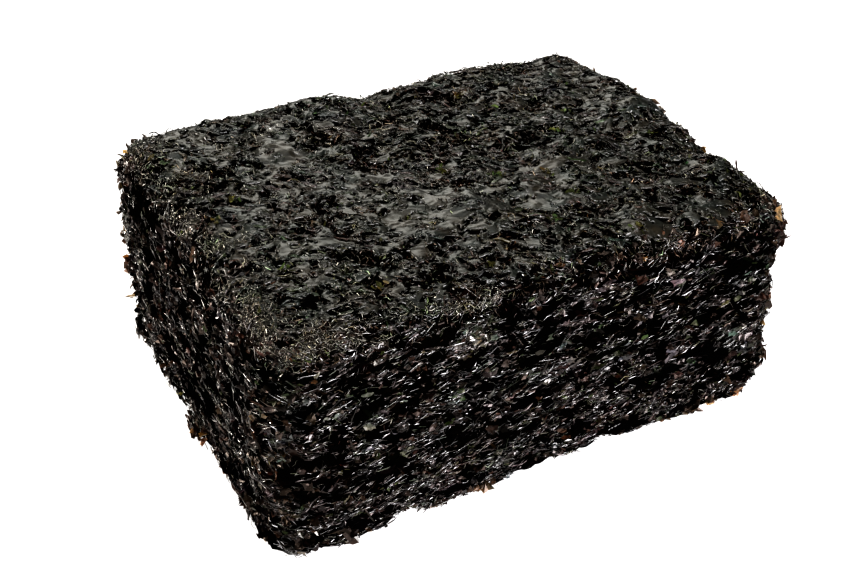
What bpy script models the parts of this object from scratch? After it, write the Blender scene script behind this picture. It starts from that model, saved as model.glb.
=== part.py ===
"""A block of dried laver: a thick pressed pile of nori sheets.

The sheets' edges make ragged, layered sides, and the top sheet is rumpled and
bends down over the edges. The block lies on its bottom sheet. The origin is the
middle of the base, +X runs along the sheets' long side, +Y along their short
side, and +Z is up. All lengths are metres.
"""

import math
import random

import bmesh
import bpy
from mathutils import Matrix, Vector, noise

# Driving dimensions
SHEET_LENGTH = 0.260
SHEET_WIDTH = 0.189
PILE_HEIGHT = 0.1065
CORNER_RADIUS = 0.018       # in plan, and where the top sheets bend down
FOOT_INSET = 0.0022         # the bottom sheets are pressed in a little
FOOT_HEIGHT = 0.007

# Facets of the bare pile
CELLS_LONG = 26
CELLS_WIDE = 19
LAYERS = 14

# Relief of the bare pile
LAYER_PITCH = 0.0085
LAYER_LENGTH = 0.040
LAYER_DEPTH = 0.0030
CLUMP_SIZE = 0.012
CLUMP_DEPTH = 0.0026
RUMPLE_SIZE = 0.019
RUMPLE_HEIGHT = 0.0030

# Swells and hollows of the whole pile: middle (x, y, z), radius, how far out
TOP = PILE_HEIGHT
SWELLS = (
    (-0.042, 0.078, TOP, 0.028, 0.0036),
    (0.003, 0.076, TOP, 0.012, -0.0036),
    (0.050, 0.078, TOP, 0.024, 0.0026),
    (0.104, 0.078, TOP, 0.018, -0.0020),
    (0.119, 0.025, TOP, 0.026, 0.0046),
    (0.117, -0.030, TOP, 0.014, -0.0034),
    (0.116, -0.060, TOP, 0.014, 0.0012),
    (0.116, -0.080, TOP, 0.014, -0.0022),
    (-0.100, -0.062, TOP, 0.030, -0.0014),
    (-0.020, -0.020, TOP, 0.034, 0.0012),
    (-0.124, 0.086, TOP, 0.020, 0.0014),
    (0.130, -0.092, 0.074, 0.014, -0.0024),
    (0.130, -0.088, 0.002, 0.012, 0.0028),
    (0.028, -0.094, 0.0, 0.014, -0.0014),
    (-0.012, -0.094, 0.0, 0.014, -0.0040),
    (-0.053, -0.094, 0.0, 0.009, 0.0026),
    (-0.070, -0.094, 0.0, 0.010, -0.0034),
    (-0.130, -0.001, 0.0, 0.012, 0.0026),
    (-0.130, 0.026, 0.008, 0.010, -0.0022),
    (-0.130, 0.076, 0.012, 0.010, 0.0024),
    (-0.128, 0.092, 0.004, 0.010, -0.0022),
)

# Frond ends that stand out of the pile, the largest first
#   name, how many, length range, width range, reach range, lean range
FLAKES = (
    ("broad_side", 60, (0.015, 0.024), (0.0060, 0.0095), (0.0014, 0.0032), (-0.20, 0.20)),
    ("shoulder", 34, (0.012, 0.020), (0.0045, 0.0080), (0.0010, 0.0026), (-0.05, 0.30)),
    ("top", 22, (0.012, 0.020), (0.0045, 0.0080), (0.0070, 0.0110), (0.09, 0.16)),
    ("small_side", 100, (0.009, 0.014), (0.0030, 0.0055), (0.0012, 0.0028), (-0.35, 0.35)),
)
FLAKE_THICKNESS = 0.0010
FLAKE_CELLS = 3
FLAKE_TAPER = (0.85, 1.0, 0.80, 0.30)
FLAKE_WAVE = 0.0009
LOWEST_FLAKE = 0.0010
SEED = 20

LAVER_BLACK = (0.013, 0.014, 0.012, 1.0)
GOLDEN_TURN = (math.sqrt(5) - 1) / 2


def clear_scene():
    for obj in list(bpy.data.objects):
        bpy.data.objects.remove(obj, do_unlink=True)


def laver_material():
    """Dried laver is almost black and has a soft gloss."""
    material = bpy.data.materials.new("dried_laver")
    material.use_nodes = True
    shader = material.node_tree.nodes["Principled BSDF"]
    shader.inputs["Base Color"].default_value = LAVER_BLACK
    shader.inputs["Roughness"].default_value = 0.42
    shader.inputs["Metallic"].default_value = 0.0
    return material


def clamp(value, limit):
    return max(-limit, min(limit, value))


def round_over(point):
    """Carry a point of the plain box to the rounded pile; give its place and outward normal."""
    heart = Vector((
        clamp(point.x, SHEET_LENGTH / 2 - CORNER_RADIUS),
        clamp(point.y, SHEET_WIDTH / 2 - CORNER_RADIUS),
        min(point.z, PILE_HEIGHT - CORNER_RADIUS),
    ))
    normal = (point - heart).normalized()
    return heart + normal * CORNER_RADIUS, normal


def swell(place):
    """How far the broad swells and hollows move the surface out."""
    total = 0.0
    for x, y, z, radius, height in SWELLS:
        away = (place - Vector((x, y, z))).length / radius
        total += height * math.exp(-away * away)
    return total


def relief(place, upward):
    """Layers and clumps on the sides, rumples on the top."""
    layers = noise.noise(Vector((
        place.x / LAYER_LENGTH, place.y / LAYER_LENGTH, place.z / LAYER_PITCH)))
    clumps = noise.noise(place / CLUMP_SIZE)
    rumples = noise.noise(Vector((place.x, place.y, 0.0)) / RUMPLE_SIZE)
    sideways = 1.0 - upward
    return (
        sideways * (LAYER_DEPTH * layers + CLUMP_DEPTH * clumps)
        + upward * RUMPLE_HEIGHT * rumples
    )


def pile_surface(point):
    """Place of a point of the plain box on the finished pile."""
    place, normal = round_over(point)
    upward = max(0.0, normal.z)
    moved = place + normal * (swell(place) + relief(place, upward))
    foot = max(0.0, 1.0 - point.z / FOOT_HEIGHT)
    moved -= Vector((normal.x, normal.y, 0.0)) * FOOT_INSET * foot * foot
    return moved


def cut_across(mesh, axis, length, start, cells):
    """Cut the box into equal cells along one axis."""
    step = Vector((0.0, 0.0, 0.0))
    for index in range(1, cells):
        step[axis] = start + length * index / cells
        normal = Vector((0.0, 0.0, 0.0))
        normal[axis] = 1.0
        bmesh.ops.bisect_plane(
            mesh, geom=mesh.verts[:] + mesh.edges[:] + mesh.faces[:],
            plane_co=step, plane_no=normal, dist=1e-7)


def make_object(name, mesh, collection):
    data = bpy.data.meshes.new(name)
    mesh.to_mesh(data)
    mesh.free()
    obj = bpy.data.objects.new(name, data)
    collection.objects.link(obj)
    return obj


def build_pile():
    """The bare pile: a box cut into cells, rounded over and given its relief."""
    mesh = bmesh.new()
    box = Matrix.Translation((0.0, 0.0, PILE_HEIGHT / 2)) @ Matrix.Diagonal(
        (SHEET_LENGTH, SHEET_WIDTH, PILE_HEIGHT, 1.0))
    bmesh.ops.create_cube(mesh, size=1.0, matrix=box)
    cut_across(mesh, 0, SHEET_LENGTH, -SHEET_LENGTH / 2, CELLS_LONG)
    cut_across(mesh, 1, SHEET_WIDTH, -SHEET_WIDTH / 2, CELLS_WIDE)
    cut_across(mesh, 2, PILE_HEIGHT, 0.0, LAYERS)
    base = [face for face in mesh.faces if face.normal.z < -0.5]
    bmesh.ops.dissolve_faces(mesh, faces=base)
    for vertex in mesh.verts:
        on_base = vertex.co.z < 1e-6
        vertex.co = pile_surface(vertex.co)
        if on_base:
            vertex.co.z = 0.0
    bmesh.ops.triangulate(mesh, faces=mesh.faces[:])
    bmesh.ops.recalc_face_normals(mesh, faces=mesh.faces[:])
    return make_object("nori_stack", mesh, bpy.context.scene.collection)


def frond_end(length, width, draw):
    """A thin wavy frond end with a torn tip, lying along +X from the origin."""
    mesh = bmesh.new()
    bmesh.ops.create_grid(mesh, x_segments=FLAKE_CELLS, y_segments=1, size=0.5)
    phase = draw.uniform(0.0, 2 * math.pi)
    curl = draw.uniform(-0.08, 0.08) * length
    skew = draw.uniform(-0.40, 0.40) * width
    for vertex in mesh.verts:
        along = vertex.co.x + 0.5
        taper = FLAKE_TAPER[round(along * FLAKE_CELLS)]
        vertex.co = Vector((
            along * length,
            vertex.co.y * width * taper + skew * along * along,
            FLAKE_WAVE * math.sin(phase + 2 * math.pi * along) + curl * along * along,
        ))
    bmesh.ops.solidify(mesh, geom=mesh.faces[:], thickness=FLAKE_THICKNESS)
    bmesh.ops.triangulate(mesh, faces=mesh.faces[:])
    bmesh.ops.recalc_face_normals(mesh, faces=mesh.faces[:])
    return mesh


def wall_point(turn, height):
    """A point of the plain box's walls, a share of the way round it."""
    reach = turn * 2 * (SHEET_LENGTH + SHEET_WIDTH)
    for corner_x, corner_y, run_x, run_y in (
        (-0.5, -0.5, 1, 0), (0.5, -0.5, 0, 1), (0.5, 0.5, -1, 0), (-0.5, 0.5, 0, -1),
    ):
        length = SHEET_LENGTH if run_x else SHEET_WIDTH
        if reach <= length:
            break
        reach -= length
    return Vector((
        corner_x * SHEET_LENGTH + run_x * reach,
        corner_y * SHEET_WIDTH + run_y * reach,
        height))


def top_point(across, along):
    """A point of the plain box's top, clear of its rounded shoulders."""
    return Vector((
        (along - 0.5) * (SHEET_LENGTH - 3 * CORNER_RADIUS),
        (across - 0.5) * (SHEET_WIDTH - 3 * CORNER_RADIUS),
        PILE_HEIGHT))


def seat_and_outward(kind, index, count, draw):
    """Where a flake of this kind leaves the pile, and which way is out."""
    turn = (index * GOLDEN_TURN) % 1.0
    share = (index + 0.5) / count
    if kind == "top":
        heading = draw.uniform(0.0, 2 * math.pi)
        return top_point(turn, share), Vector((math.cos(heading), math.sin(heading), 0.0))
    if kind == "shoulder":
        point = wall_point(share, PILE_HEIGHT)
    else:
        wall_height = PILE_HEIGHT - CORNER_RADIUS - FOOT_HEIGHT / 2
        point = wall_point(turn, FOOT_HEIGHT / 2 + wall_height * share)
    normal = round_over(point)[1]
    return point, Vector((normal.x, normal.y, 0.0)).normalized()


def flake_frame(seat, outward, length, reach, lean, draw):
    """Axes of a flake whose tip stands out past its seat, near the sheets' plane."""
    sideways = Vector((0.0, 0.0, 1.0)).cross(outward)
    swing = draw.choice((-1.0, 1.0)) * draw.uniform(0.60, 1.15)
    heading = outward * math.cos(swing) + sideways * math.sin(swing)
    heading = (heading + Vector((0.0, 0.0, lean))).normalized()
    across = Vector((0.0, 0.0, 1.0)).cross(heading).normalized()
    across = Matrix.Rotation(draw.uniform(-0.45, 0.45), 3, heading) @ across
    frame = Matrix((heading, across, heading.cross(across))).transposed().to_4x4()
    frame.translation = seat + heading * (reach / heading.dot(outward) - length)
    return frame


def scatter_flakes(collection):
    """Spread frond ends evenly over the sides, the shoulders and the top."""
    draw = random.Random(SEED)
    for kind, count, lengths, widths, reaches, leans in FLAKES:
        for index in range(count):
            point, outward = seat_and_outward(kind, index, count, draw)
            length = draw.uniform(*lengths)
            mesh = frond_end(length, draw.uniform(*widths), draw)
            frame = flake_frame(
                pile_surface(point), outward, length,
                draw.uniform(*reaches), draw.uniform(*leans), draw)
            bmesh.ops.transform(mesh, matrix=frame, verts=mesh.verts[:])
            lowest = min(vertex.co.z for vertex in mesh.verts)
            raised = Vector((0.0, 0.0, max(0.0, LOWEST_FLAKE - lowest)))
            bmesh.ops.translate(mesh, vec=raised, verts=mesh.verts[:])
            make_object(f"{kind}_flake_{index}", mesh, collection)


def fuse(pile, collection):
    """Join the frond ends to the pile in one union, then drop what it sealed or left loose."""
    union = pile.modifiers.new("fuse_flakes", "BOOLEAN")
    union.operation = "UNION"
    union.solver = "EXACT"
    union.operand_type = "COLLECTION"
    union.collection = collection
    bpy.context.view_layer.objects.active = pile
    bpy.ops.object.modifier_apply(modifier=union.name)
    for flake in list(collection.objects):
        bpy.data.objects.remove(flake, do_unlink=True)
    bpy.data.collections.remove(collection)
    keep_largest_body(pile)


def keep_largest_body(obj):
    mesh = bmesh.new()
    mesh.from_mesh(obj.data)
    bodies = []
    unseen = set(mesh.verts)
    while unseen:
        body = set()
        front = [unseen.pop()]
        while front:
            vertex = front.pop()
            body.add(vertex)
            for edge in vertex.link_edges:
                other = edge.other_vert(vertex)
                if other in unseen:
                    unseen.remove(other)
                    front.append(other)
        bodies.append(body)
    bodies.sort(key=len)
    for body in bodies[:-1]:
        bmesh.ops.delete(mesh, geom=list(body), context="VERTS")
    mesh.to_mesh(obj.data)
    mesh.free()


def build_nori_stack():
    pile = build_pile()
    flakes = bpy.data.collections.new("flakes")
    bpy.context.scene.collection.children.link(flakes)
    scatter_flakes(flakes)
    fuse(pile, flakes)
    pile.data.materials.clear()
    pile.data.materials.append(laver_material())
    return pile


clear_scene()
build_nori_stack()
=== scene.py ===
"""The block of dried laver as the photograph shows it.

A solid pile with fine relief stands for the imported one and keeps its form. Over
it lie the real things as thin mesh: the torn skin of the top sheet, shreds and
strands all over the ragged sides, leaf bits that stand out of the edges, and
green, pale and amber bits between them. Lengths are metres, in the part's
frame; rows of swells, patches, places and pieces give theirs in millimetres.
"""

import itertools
import math

import bpy
import numpy as np
from mathutils import Matrix, Vector, noise


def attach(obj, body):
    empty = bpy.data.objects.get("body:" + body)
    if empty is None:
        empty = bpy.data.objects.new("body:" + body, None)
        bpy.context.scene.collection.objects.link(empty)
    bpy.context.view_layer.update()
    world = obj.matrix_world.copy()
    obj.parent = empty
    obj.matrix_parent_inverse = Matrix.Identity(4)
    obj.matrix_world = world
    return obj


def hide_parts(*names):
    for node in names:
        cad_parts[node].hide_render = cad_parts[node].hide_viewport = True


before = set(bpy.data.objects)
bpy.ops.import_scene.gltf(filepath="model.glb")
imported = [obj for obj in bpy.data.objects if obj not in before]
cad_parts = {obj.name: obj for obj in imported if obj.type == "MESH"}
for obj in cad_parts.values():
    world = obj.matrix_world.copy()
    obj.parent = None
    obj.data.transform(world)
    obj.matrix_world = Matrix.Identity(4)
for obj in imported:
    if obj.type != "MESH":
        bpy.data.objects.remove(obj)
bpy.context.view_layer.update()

MM = 0.001

# The pile's form, as in its solid
SHEET_LENGTH = 0.26
SHEET_WIDTH = 0.189
HALF = np.array((SHEET_LENGTH, SHEET_WIDTH)) / 2
PILE_HEIGHT = 0.1065
CORNER_RADIUS = 0.018
FOOT_INSET = 0.0022
FOOT_HEIGHT = 0.007
LAYER_PITCH = 0.0085
LAYER_LENGTH = 0.04
LAYER_DEPTH = 0.003
CLUMP_SIZE = 0.012
CLUMP_DEPTH = 0.0026
RUMPLE_SIZE = 0.019
RUMPLE_HEIGHT = 0.003
TOP = 106.5     # the heights and places of rows on the top, the front and the left end
FRONT = -94.5
LEFT = -130
SWELLS = (   # middle, radius, height
    (-42, 78, TOP, 28, 3.6), (3, 76, TOP, 12, -3.6), (50, 78, TOP, 24, 2.6), (104, 78, TOP, 18, -2),
    (119, 25, TOP, 26, 4.6), (117, -30, TOP, 14, -3.4), (116, -60, TOP, 14, 1.2),
    (116, -80, TOP, 14, -2.2), (-100, -62, TOP, 30, -1.4), (-20, -20, TOP, 34, 1.2),
    (-124, 86, TOP, 20, 1.4), (130, -92, 74, 14, -2.4), (130, -88, 2, 12, 2.8),
    (28, -94, 0, 14, -1.4), (-12, -94, 0, 14, -4), (-53, -94, 0, 9, 2.6), (-70, -94, 0, 10, -3.4),
    (-130, -1, 0, 12, 2.6), (-130, 26, 8, 10, -2.2), (-130, 76, 12, 10, 2.4),
    (-128, 92, 4, 10, -2.2),
)

# Small corrections of the outline, too fine for the solid
EDGE_SWELLS = (
    (128, -92, 78, 10, -1.8), (128, -92, 58, 8, -1.6), (128, -92, 36, 7, -2.2),
    (-131, 77, 30, 9, -2.6), (-131, 72, 16, 9, -3.2), (-131, 74, 1, 7, 2.2), (-131, 9, 8, 9, -4.6),
    (-131, 39, 3, 8, -2), (-131, -29, 6, 7, 2.6), (41, -94, 0, 9, -1.8), (22, -94, 0, 8, 1.2),
    (-28, -94, 0, 10, 1.8), (-61, -94, 0, 5, 2), (-79, -94, 0, 7, 1.8), (-69, -94, 0, 5, -1.4),
    (-103, -94, 0, 7, 1.6), (-122, -90, 0, 6, 1.4), (-10, -94, 0, 6, 1.4), (80, -94, 0, 6, 1.6),
    (107, -94, 0, 7, 1.6), (128, -92, 15, 7, 2), (118, -14, TOP, 10, 3.6), (55, 84, TOP, 10, 1.4),
    (114, -44, TOP, 8, 1.8), (123, 14, TOP, 7, -1.2), (116, -50, TOP, 9, 1.2),
    (116, -84, TOP, 12, -1.4), (-20, 84, TOP, 11, 1.4),
)

# Fine relief of the pile
CELL = 0.00125
WALL_STRETCH = 1.25   # height of a cell of the walls, in cells
LEDGES = (((0.009, 0.009, 0.0016), 1.0), (0.0026, 0.6))   # size, weight
LEDGE_DEPTH = 0.0012
FRINGE = 0.0012
PIT_SIZE = 0.0034
PIT_DEPTHS = (0.00135, 0.00105)   # mean, how much it varies
CLEFT = ((-0.076, -0.04), (-0.062, -0.058), 0.0036, 0.006)   # ends, radius, depth
CLEFT_OPENS = 160.0
CLEFT_SAG = 0.8

# The smooth skin of the top sheet, with holes between its merged films
SKIN_CELL = 0.00056
SKIN_FOLD = 0.013
SKIN_THICKNESS = 0.00022
SKIN_HEADING = -0.35
SKIN_STRETCH = 1.35
SKIN_WARP = 0.003
WARP_SIZE = 0.006
HOLES = (   # size, weight
    (0.016, 0.05), (0.007, 0.14), (0.0036, 0.56), (0.002, 0.72), (0.0011, 0.42),
)
WRINKLES = (   # size, height
    (0.0095, 0.0003), (0.005, 0.00042), (0.0027, 0.00042), (0.0015, 0.0002),
)
RIM_SHIFT = 0.6 * SKIN_CELL
FEWEST_NEAR = 8   # a cell stays with so many in the square of 25 round it
CURL_FROM = 0.22
CURL_HEIGHT = 0.0014
CURL_SIZE = 0.0045
CURL_SINKS = 0.35
SEAM_WAVE = 0.01
SKIN_SHEETS = (
    ("skin_front_left", -1, -1), ("skin_front_right", 1, -1),
    ("skin_back_left", -1, 1), ("skin_back_right", 1, 1),
)
RIM_ROUGH = 0.26
RIM_WIDTH = 0.012
FOLD_ROUGH = 0.8
FRONT_ROUGH = 0.6
FRONT_WIDTH = 0.006
SMOOTH_PATCHES = (   # middle (x, y), radius, how much smoother
    (-23, -28, 14, 0.52), (-34, -34, 8, 0.3), (-10, -18, 7, 0.35), (0, -30, 9, 0.34),
    (23, -14, 8, 0.4), (1, 1, 8, 0.35), (-68, 40, 10, 0.75), (-60, 54, 8, 0.35), (-91, 63, 9, 0.3),
    (-97, 82, 9, 0.68), (-66, 82, 9, 0.4), (-24, 84, 8, 0.5), (-49, 8, 8, 0.18), (-47, -7, 9, 0.32),
    (-48, -46, 8, 0.35), (-56, -86, 9, 0.6), (-94, -42, 9, 0.35), (25, -41, 10, 0.6),
    (44, -24, 14, 0.25), (49, -66, 8, 0.35), (65, 24, 9, 0.42), (31, 44, 6, 0.3),
    (97, 24, 10, 0.42), (118, 8, 8, 0.8), (98, 59, 10, 0.48), (83, -83, 10, 0.8),
    (53, -85, 10, 0.88), (10, 38, 10, -0.55), (-8, 29, 7, -0.5), (18, 18, 10, -0.6),
    (-29, 20, 9, -0.55), (-54, 19, 6, -0.35), (-46, 47, 6, -0.8), (-47, 62, 5, -0.6),
    (-72, -7, 8, -0.65), (-69, 24, 7, -0.5), (-102, 40, 9, -0.45), (-122, 43, 8, -0.5),
    (-42, -69, 8, -0.35), (16, 70, 8, -0.4), (32, 69, 9, -0.65), (63, 80, 11, -0.5),
    (87, 47, 8, -0.4), (92, 77, 8, -0.35), (47, 8, 11, -0.6), (87, -38, 12, -0.34),
    (115, -17, 9, -0.4), (-124, 22, 11, -0.28), (-126, -8, 9, -0.2), (-124, 62, 10, -0.45),
    (114, 22, 6, -0.4), (112, -67, 10, -0.3), (58, -74, 7, -0.25), (-3, -15, 4, -0.5),
    (-10, -63, 4, -0.4), (100, -30, 45, -0.06), (-87, -25, 8, 0.32), (-32, 5, 7, 0.28),
    (48, 74, 7, 0.28), (48, 33, 7, -0.32), (-30, -86, 8, -0.35), (-104, 55, 7, -0.32),
    (-87, 81, 5, -0.3),
)

# Thin bits: their forms, and how they lie
STRIP_THICKNESS = 0.00004
STRIP_RIDGE = 0.06
BLUNTNESS = 0.14
LEAF_THICKNESS = 0.00014
LOWEST_BIT = 0.0004
LOWEST_STRIP = 0.0012   # seats
LOWEST_STRAND = 0.002
LOWEST_LEAF = 0.003
LEAF_CELLS = (4, 2)
LEAF_TORN = 0.24   # how far the rims are off, in cells
FILM_TORN = 0.13
NEEDLE = (0.7, 0.08, 0.05)   # crumple, wave, bow
BENT = (0.5, 0.55, 0.045)
TORN = (1.0, 0.1, 0.06)
WAVY = (0.45, 0.25, 0.04)
CURLED = (0.5, 0.6, 0.12)
HOOKED = (0.6, 0.5, 0.24)
LEAN_SIZE = (0.03, 0.03, 0.014)
LEAN = 0.25
FRONT_LEAN = 0.08
CROSSING = (0.0, 0.8, -0.8)   # slopes of the bits along and across the layers
CROSSING_SHARES = (0.68, 0.16, 0.16)
END_TILT = 0.3
TOP_FLATTENS = 0.6
ROUGH_PLACE = 0.01   # where the top is rough with curled strands
ROUGH_WIDTH = 0.011
ROUGH_LENGTH = 0.11
ROUGH_WIDENS = 0.25
ROUGH_CHANCES = (0.06, 0.7)   # everywhere, and more there
ROUGH_CLUMPS = (0.5, 1.8)
ROUGH_CLUMP_SIZE = 0.012

# Where bits are thick or thin on the ground
STRIP_TRIES = 6     # points drawn for each one that is wanted
LEAF_TRIES = 12
RIM_TRIES = 10
TOP_TRIES = 5
FILM_TRIES = 3
WALL_STRANDS = 8   # one in so many strands is on the walls
FILM_OPENNESS = (0.02, 0.24)   # middle, furthest from it
SHOULDER_BAND = 0.008
RIM_MARGIN = 0.006   # how far past the top's edges seats are drawn
TOP_MARGIN = 0.012
FILM_MARGIN = 0.004
CLUSTER_SIZE = (0.0085, 0.0085, 0.0038)
CLUSTER_SEED = 95
END_CLUMPING = 1.5
END_GAPS = 0.12
SHOULDER_GAPS = 0.22


def on_front(*rows):
    """Rows of x, z and more with the front's y put in."""
    return tuple((x, FRONT, *rest) for x, *rest in rows)


FRONT_PATCHES = on_front(   # middle (x, z), radius, how much fuller of glossy bits
    (-43, 89, 6, 2), (-49, 84, 4, 1), (108, 37, 10, 1), (6, 38, 8, 0.6), (3, 55, 7, 0.5),
    (30, 21, 10, 0.9), (63, 14, 9, 0.7), (-28, 8, 10, 0.7), (-64, 6, 9, 0.7), (-62, 22, 9, 0.7),
    (-48, 59, 8, 0.6), (-104, 12, 9, 0.5), (86, 88, 11, -0.3), (86, 66, 10, -0.6),
    (68, 59, 8, -0.4), (-10, 60, 8, -0.5), (84, 41, 9, -0.2), (50, 62, 11, -0.4), (16, 66, 8, -0.4),
    (-8, 80, 11, -0.5), (-75, 74, 11, -0.4), (-81, 37, 10, -0.4), (-109, 48, 11, -0.3),
    (47, 6, 8, -0.5), (-15, 104, 9, -0.9), (-78, 104, 9, -0.4), (20, 102, 14, -0.8),
    (-55, 103, 7, -0.6), (98, 102, 10, -0.5), (112, 95, 9, -0.5), (114, 58, 7, -0.3),
    (96, 54, 7, -0.4), (24, 53, 7, -0.4), (-72, 25, 6, -0.4), (-95, 26, 7, -0.4), (-34, 43, 7, 0.5),
    (-126, 50, 14, -0.2), (-64, 5, 7, 0.6), (48, 97, 7, 0.8), (48, 76, 8, -0.5), (-60, 55, 8, 0.6),
    (100, 42, 7, 0.5), (118, 12, 8, -0.5), (-16, 35, 8, -0.5), (56, 7, 7, -0.4), (98, 26, 8, -0.4),
    (118, 28, 8, 0.4), (-97, 104, 8, 0.6), (-80, 5, 8, 0.6), (1, 25, 8, 0.5), (-126, 93, 8, 0.5),
    (32, 81, 7, 0.4), (-22, 17, 8, -0.4), (65, 45, 8, -0.4), (-111, 21, 8, -0.4),
    (-121, 78, 8, 0.4), (-59, 86, 6, -0.5), (119, 10, 8, -0.4), (34, 23, 7, 0.4), (3, 37, 8, 0.4),
    (90, 50, 45, -0.12), (-95, 90, 8, 0.4), (-15, 50, 7, 0.4), (-102, 63, 8, 0.4),
    (58, 88, 8, -0.4),
)
LEFT_PATCHES = (   # middle (y, z), radius, how much fuller
    (7, 76, 7, -0.3), (34, 90, 8, -0.3), (-33, 63, 7, -0.5), (-36, 18, 8, -0.7), (78, 68, 14, 1.2),
    (77, 60, 10, 0.8), (48, 30, 8, 0.5), (45, 100, 15, -0.35), (-10, 104, 12, -0.4),
    (-52, 60, 9, -0.6), (42, 62, 12, -0.5), (-45, 37, 10, 0.6), (-46, 70, 8, 0.6),
    (-62, 88, 8, 0.8), (-72, 32, 11, 1.6), (-58, 8, 10, 0.5), (50, 83, 9, -0.4), (9, 84, 8, -0.35),
    (-14, 102, 9, -0.5), (-15, 58, 11, -0.45), (-14, 26, 13, -0.45), (24, 52, 7, 0.4),
    (15, 14, 8, 0.4), (-33, 41, 7, 0.8), (-88, 64, 8, 0.5), (25, 32, 10, -0.5), (-86, 8, 10, -0.4),
    (4, 2, 8, 0.6), (-58, 44, 9, 0.8), (20, 71, 8, 0.5), (-10, 37, 8, -0.5), (62, 41, 10, -0.5),
    (7, 64, 8, -0.4), (12, 100, 8, -0.3), (27, 9, 8, 0.4), (49, 12, 8, -0.5), (-21, 90, 7, 0.7),
    (-3, 42, 8, -0.4), (71, 50, 8, 0.5), (-74, 33, 8, 0.5), (75, 55, 10, 0.6), (34, 63, 8, -0.4),
    (-25, 102, 8, -0.5), (-50, 22, 8, -0.4), (-92, 97, 9, -0.9), (-22, 24, 8, -0.3),
)
SIDE_PATCHES = (*FRONT_PATCHES, *((LEFT, *row) for row in LEFT_PATCHES))
PLACE_SCATTER = 0.0022
TUFT_SCATTER = 0.0014
FLAKE_PLACES = (
    (-130, 83, 69), (-130, 81, 60), (-130, 78, 32), (-130, -4, 6), (-130, -14, 5), (-130, -34, 4),
    (-130, -52, 5), (-130, 42, 4), (-128, 89, 55), (-128, 88, 40), (108, FRONT, 4), (94, FRONT, 4),
    (82, FRONT, 4), (-62, FRONT, 4), (-100, FRONT, 4), (-104, FRONT, 6),
)
# Places of the bright scraps on the front, whose pale tints are partly painted sheen.
BRIGHT_PLACES = on_front(
    (-45, 90), (-40, 89), (-43, 85), (-36, 87), (-41, 87), (16, 98), (102, 43),
)
# Places of the pale leaves, whose pale mauve-grey is partly painted sheen.
PALE_SHEEN_PLACES = on_front(
    (101, 43), (52, 94), (56, 85), (22, 94), (65, 44), (32, 52), (9, 58),
)
LEAF_GREEN_PLACES = on_front(
    (78, 35), (64, 85), (104, 67), (93, 64), (74, 54), (2, 69), (20, 34), (-9, 78), (-48, 62),
    (-90, 80),
)
TUFT_PLACES = (
    (-112, 1), (-99, 15), (38, 59), (37, -23), (37, -44), (63, 9), (15, -14), (-24, -76), (45, -79),
    (103, -15), (-100, -43), (17, -59), (-71, -69), (79, 24), (-4, -1),
)

# Palettes: share, red, green and blue in thousandths, roughness
# The near-black shreds' tints are partly the laver's own dark and partly painted shade, darkened for
# the deep shade in the gaps.
BLACKS_AND_SHADE = ((5, 1, 0.8, 0.8, 0.42), (3, 2.2, 1.3, 1.3, 0.38), (2, 1.5, 1.7, 1, 0.45))
RIBBONS = ((5, 4.5, 3.2, 3, 0.24), (3, 11, 7, 6, 0.28), (1, 6, 7, 3.4, 0.26))
# The paler grey-pink row of the glints' palette is partly painted sheen: the mauve gloss of glinting
# laver put into the colour.
GLINTS = ((6, 5, 3.8, 3.8, 0.12), (2, 24, 19, 18, 0.24), (1, 16, 17, 7, 0.26))
THREADS = ((4, 6, 4.6, 4.4, 0.16), (3, 18, 13.5, 12, 0.26), (1, 16, 17, 8, 0.26))
SPECKS = ((5, 2.4, 1.7, 1.7, 0.26), (4, 11, 6, 5, 0.3), (1, 10, 12, 4.5, 0.3))
LEAVES = (
    (50, 4.5, 3.4, 3.2, 0.24), (28, 12, 8, 7, 0.28), (8, 9, 11, 5, 0.28), (6, 16.5, 23.5, 7.5, 0.3),
)
EDGES = ((12, 6, 4, 3.4, 0.28), (6, 16, 8.5, 5.5, 0.32))
LONGS = ((6, 2.4, 1.6, 1.4, 0.2), (4, 12.5, 6.2, 4.6, 0.26))
ENDS = ((5, 2.4, 1.5, 1.3, 0.2), (4, 13.5, 6, 4.2, 0.24), (1, 22, 18, 17, 0.26))
# Pale mauve-grey tints: partly a pale leaf's own colour, partly painted sheen.
PALE_AND_SHEEN_TINTS = ((3, 27, 24.5, 25, 0.3), (1, 48, 44, 45, 0.32))
LEAF_GREENS = ((3, 7.5, 12, 4.2, 0.34), (1, 16, 21, 8.5, 0.34))
AMBERS = ((6, 32, 16, 9, 0.28), (3, 105, 60, 28, 0.3), (1, 320, 220, 110, 0.32))
# Pale mauve-grey tints of the bright bits: partly painted sheen, the gloss of the laver put into the
# colour.
SHEENS = ((3, 13, 11.2, 11.2, 0.2), (2, 38, 33.5, 33, 0.26))
FILMS = ((6, 8.5, 8.5, 6.8, 0.22), (2, 13, 9.5, 7.2, 0.26), (1, 10, 12, 6.2, 0.24))
GRAINS = ((7, 9, 8.8, 7, 0.22), (2, 19, 13, 9.2, 0.26), (1, 25, 25, 12, 0.3))
STRAND_TINTS = ((7, 8.5, 8, 6.6, 0.14), (1, 60, 60, 47, 0.3), (1, 22, 26, 15, 0.28))
WISPS = ((7, 8, 7.8, 6.6, 0.16), (1, 30, 29, 23, 0.26))
RIM_GLINTS = ((6, 8.5, 8, 6.6, 0.1), (1, 120, 120, 90, 0.3))
PIT_TINTS = (
    (4, 3.6, 2, 1.3, 0.2), (3, 16, 9.2, 5.4, 0.26), (2, 13, 6.4, 6.2, 0.26), (1, 9, 11, 4, 0.26),
)
GREENS = ((3, 24, 28, 14, 0.3), (1, 42, 48, 25, 0.3))
TINT_DRIFTS = ((0, 0.24, 91), (1, 0.16, 92), (2, 0.18, 93))   # colour channel, strength, seed
TINT_DRIFT_SIZE = 0.01
LIGHTNESS_SPREAD = 0.35
HUE_SPREAD = 0.08
ROUGHNESS_SPREAD = 0.05

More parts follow.
